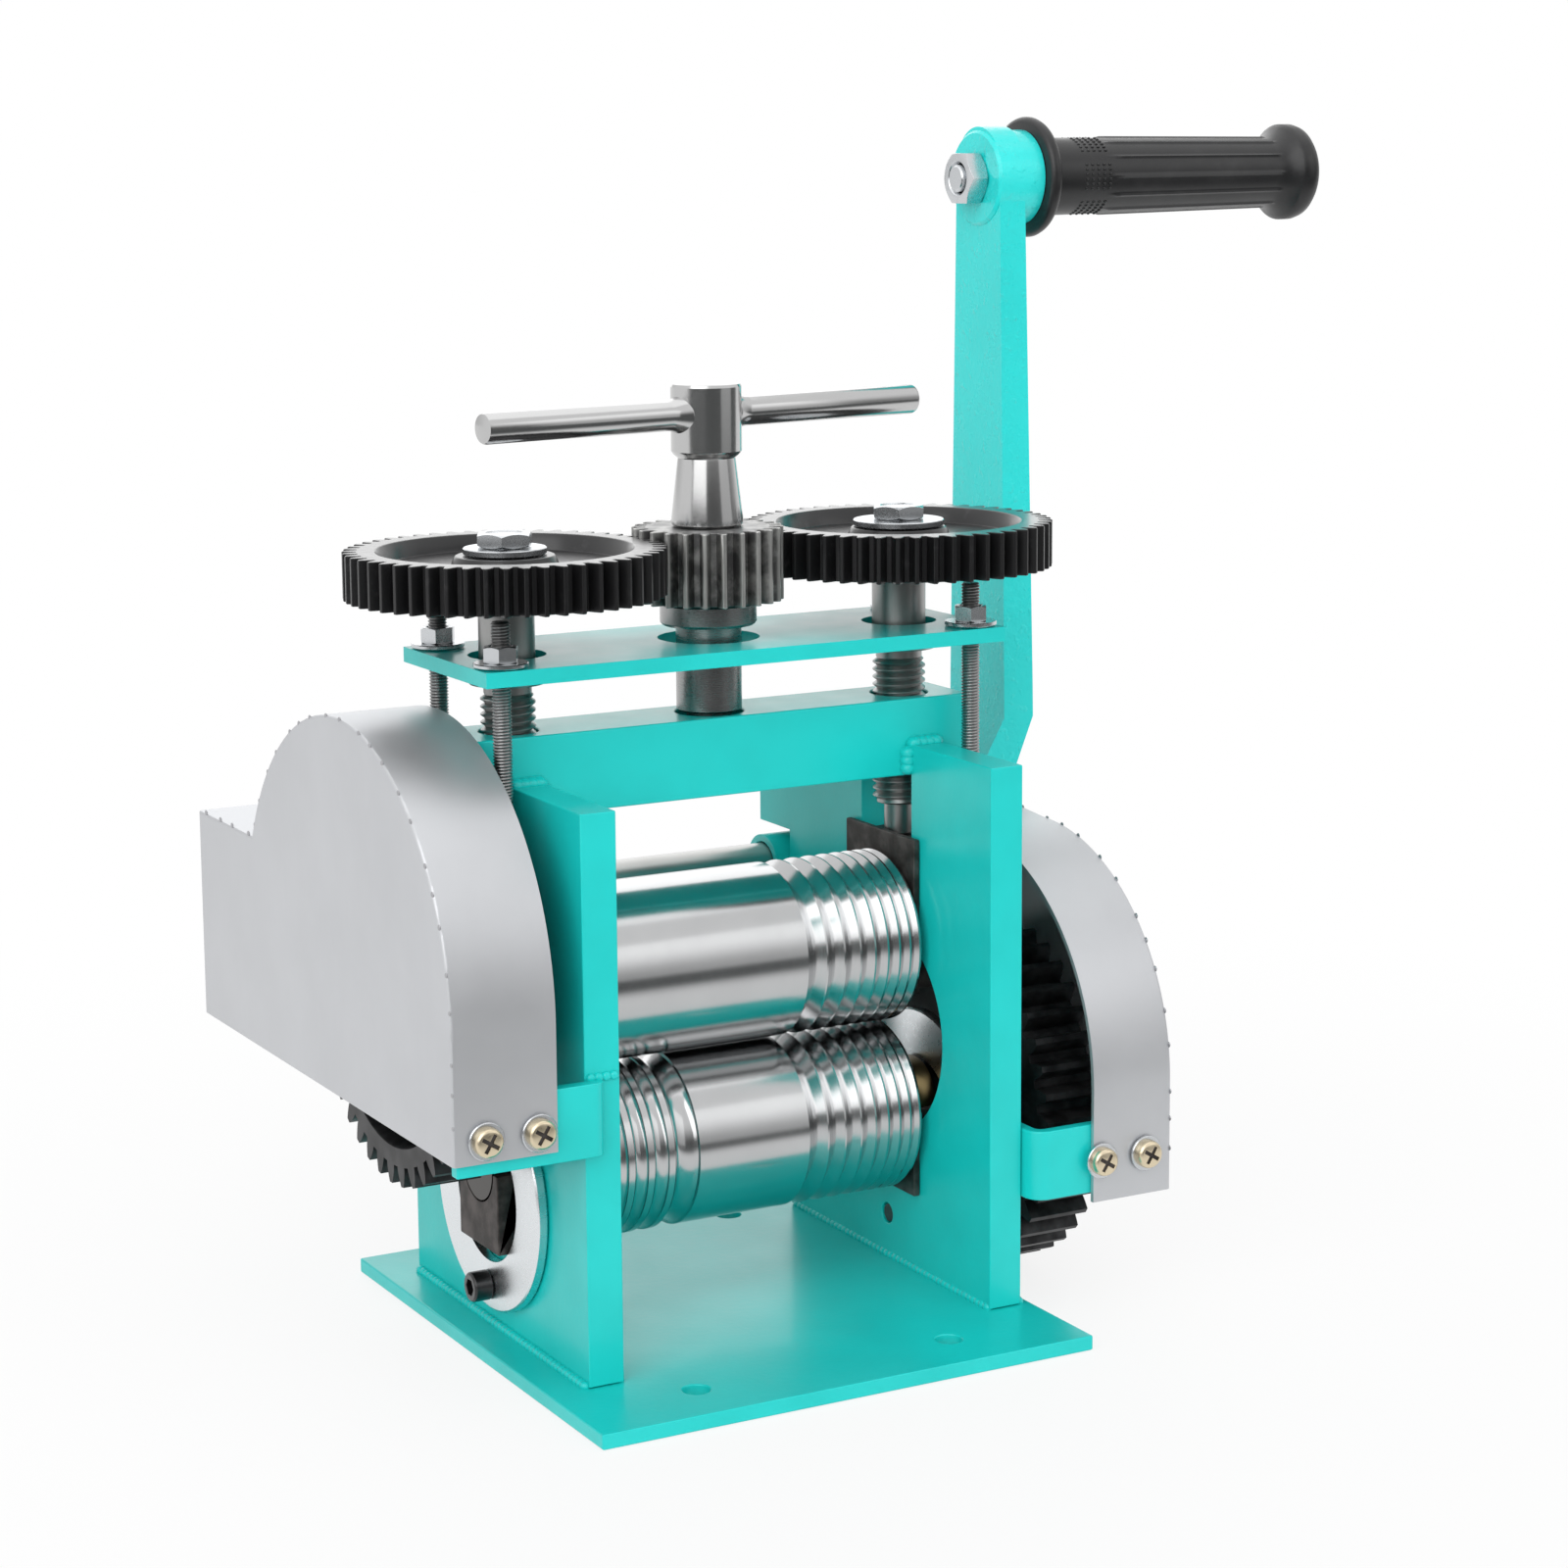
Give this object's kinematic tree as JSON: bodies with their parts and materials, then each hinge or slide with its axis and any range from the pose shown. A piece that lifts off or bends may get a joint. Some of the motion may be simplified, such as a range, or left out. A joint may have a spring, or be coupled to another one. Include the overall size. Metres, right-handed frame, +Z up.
{
  "type": "jewellers rolling mill",
  "caption": "Hand-cranked bench rolling mill with flat and grooved rolls, geared screw-down with a T handle, sheet gear covers and a crank with a turning grip.",
  "frame": {"origin": "underside of the base plate, below the roll axes and mid-way between the side plates", "axes": "+Z up, +X along the rolls towards the crank, +Y from the operator to the back"},
  "size_m": [0.3316, 0.1939, 0.31],
  "materials": {
    "paint": "glossy turquoise paint with slight orange peel",
    "polished_steel": "ground and polished hardened steel",
    "bare_steel": "turned bare steel, lightly oiled",
    "chrome": "polished",
    "black_oxide": "oiled black oxide, satin",
    "zinc": "bright zinc plate",
    "yellow_zinc": "yellow passivated zinc plate",
    "cover_sheet": "silver-grey sheet, satin",
    "dark_iron": "oily dark iron",
    "bronze": "oiled bearing bronze",
    "rubber": "satin black, ribbed"
  },
  "bodies": {
    "frame": {"base_plate": "paint", "left_side_plate": "paint", "right_side_plate": "paint", "cross_beam": "paint", "left_cover_bracket": "paint", "right_cover_bracket": "paint", "left_gear_cover": "cover_sheet", "right_gear_cover": "cover_sheet", "left_cover_screw_outer": "yellow_zinc", "left_cover_screw_inner": "yellow_zinc", "right_cover_screw_outer": "yellow_zinc", "right_cover_screw_inner": "yellow_zinc", "left_keeper_ring": "zinc", "right_keeper_ring": "zinc", "left_keeper_screw": "black_oxide", "right_keeper_screw": "black_oxide", "lower_left_block": "dark_iron", "lower_right_block": "dark_iron", "lower_left_bush": "bronze", "lower_right_bush": "bronze", "idler_axle": "bare_steel"},
    "handle": {"spindle": "bare_steel", "centre_gear": "bare_steel", "t_handle": "chrome"},
    "carriage": {"lift_plate": "paint", "upper_left_block": "dark_iron", "upper_right_block": "dark_iron", "left_front_stud": "zinc", "left_back_stud": "zinc", "right_front_stud": "zinc", "right_back_stud": "zinc", "left_front_stud_nut": "zinc", "left_back_stud_nut": "zinc", "right_front_stud_nut": "zinc", "right_back_stud_nut": "zinc"},
    "left_screw_set": {"left_screw": "black_oxide", "left_top_gear": "black_oxide", "left_top_washer": "zinc", "left_top_bolt": "zinc"},
    "right_screw_set": {"right_screw": "black_oxide", "right_top_gear": "black_oxide", "right_top_washer": "zinc", "right_top_bolt": "zinc"},
    "upper_bushes": {"upper_left_bush": "bronze", "upper_right_bush": "bronze"},
    "upper_roll_set": {"upper_roll": "polished_steel", "left_roll_gear": "black_oxide", "left_gear_bolt": "zinc"},
    "lower_roll_set": {"lower_roll": "polished_steel", "right_roll_gear": "black_oxide", "right_gear_bolt": "zinc"},
    "idler": {"idler_gear": "black_oxide"},
    "crank": {"countershaft": "bare_steel", "left_pinion": "black_oxide", "right_pinion": "black_oxide", "crank_arm": "paint", "crank_bolt": "zinc", "grip_bolt": "zinc", "grip_nut": "zinc"},
    "grip_sleeve": {"grip": "rubber"}
  },
  "joints": [
    {"name": "handle_turn", "type": "hinge", "parent": "frame", "child": "handle", "pos_m": [0, 0, 0.16], "axis": [0, 0, 1], "range_deg": [-1561, 157]},
    {"name": "carriage_slide", "type": "slide", "parent": "frame", "child": "carriage", "axis": [0, 0, 1], "range_m": [-0.0004, 0.004]},
    {"name": "left_screw_turn", "type": "hinge", "parent": "carriage", "child": "left_screw_set", "pos_m": [-0.0571, 0, 0.16], "axis": [0, 0, 1], "range_deg": [-73, 721]},
    {"name": "right_screw_turn", "type": "hinge", "parent": "carriage", "child": "right_screw_set", "pos_m": [0.0571, 0, 0.16], "axis": [0, 0, 1], "range_deg": [-73, 721]},
    {"name": "upper_bush_turn", "type": "hinge", "parent": "carriage", "child": "upper_bushes", "pos_m": [0, 0, 0.0943], "axis": [1, 0, 0], "range_deg": [-5.1, 0.6]},
    {"name": "upper_roll_turn", "type": "hinge", "parent": "upper_bushes", "child": "upper_roll_set", "pos_m": [0, 0, 0.0943], "axis": [1, 0, 0], "continuous": true},
    {"name": "lower_roll_turn", "type": "hinge", "parent": "frame", "child": "lower_roll_set", "pos_m": [0, 0, 0.0478], "axis": [1, 0, 0], "continuous": true},
    {"name": "idler_turn", "type": "hinge", "parent": "frame", "child": "idler", "pos_m": [0.083, 0.05873, 0.06774], "axis": [1, 0, 0], "continuous": true},
    {"name": "crank_turn", "type": "hinge", "parent": "frame", "child": "crank", "pos_m": [0, 0.06186, 0.1015], "axis": [1, 0, 0], "continuous": true},
    {"name": "grip_turn", "type": "hinge", "parent": "crank", "child": "grip_sleeve", "pos_m": [0.1834, 0.06186, 0.293], "axis": [1, 0, 0], "continuous": true}
  ],
  "couplings": [
    {"joint": "handle_turn", "follows": "carriage_slide", "rad_per_m": -6806.8},
    {"joint": "left_screw_turn", "follows": "carriage_slide", "rad_per_m": 3141.6},
    {"joint": "right_screw_turn", "follows": "carriage_slide", "rad_per_m": 3141.6},
    {"joint": "upper_bush_turn", "follows": "carriage_slide", "rad_per_m": -21.931},
    {"joint": "upper_roll_turn", "follows": "crank_turn", "ratio": -0.375},
    {"joint": "lower_roll_turn", "follows": "crank_turn", "ratio": 0.375},
    {"joint": "idler_turn", "follows": "crank_turn", "ratio": -1}
  ]
}
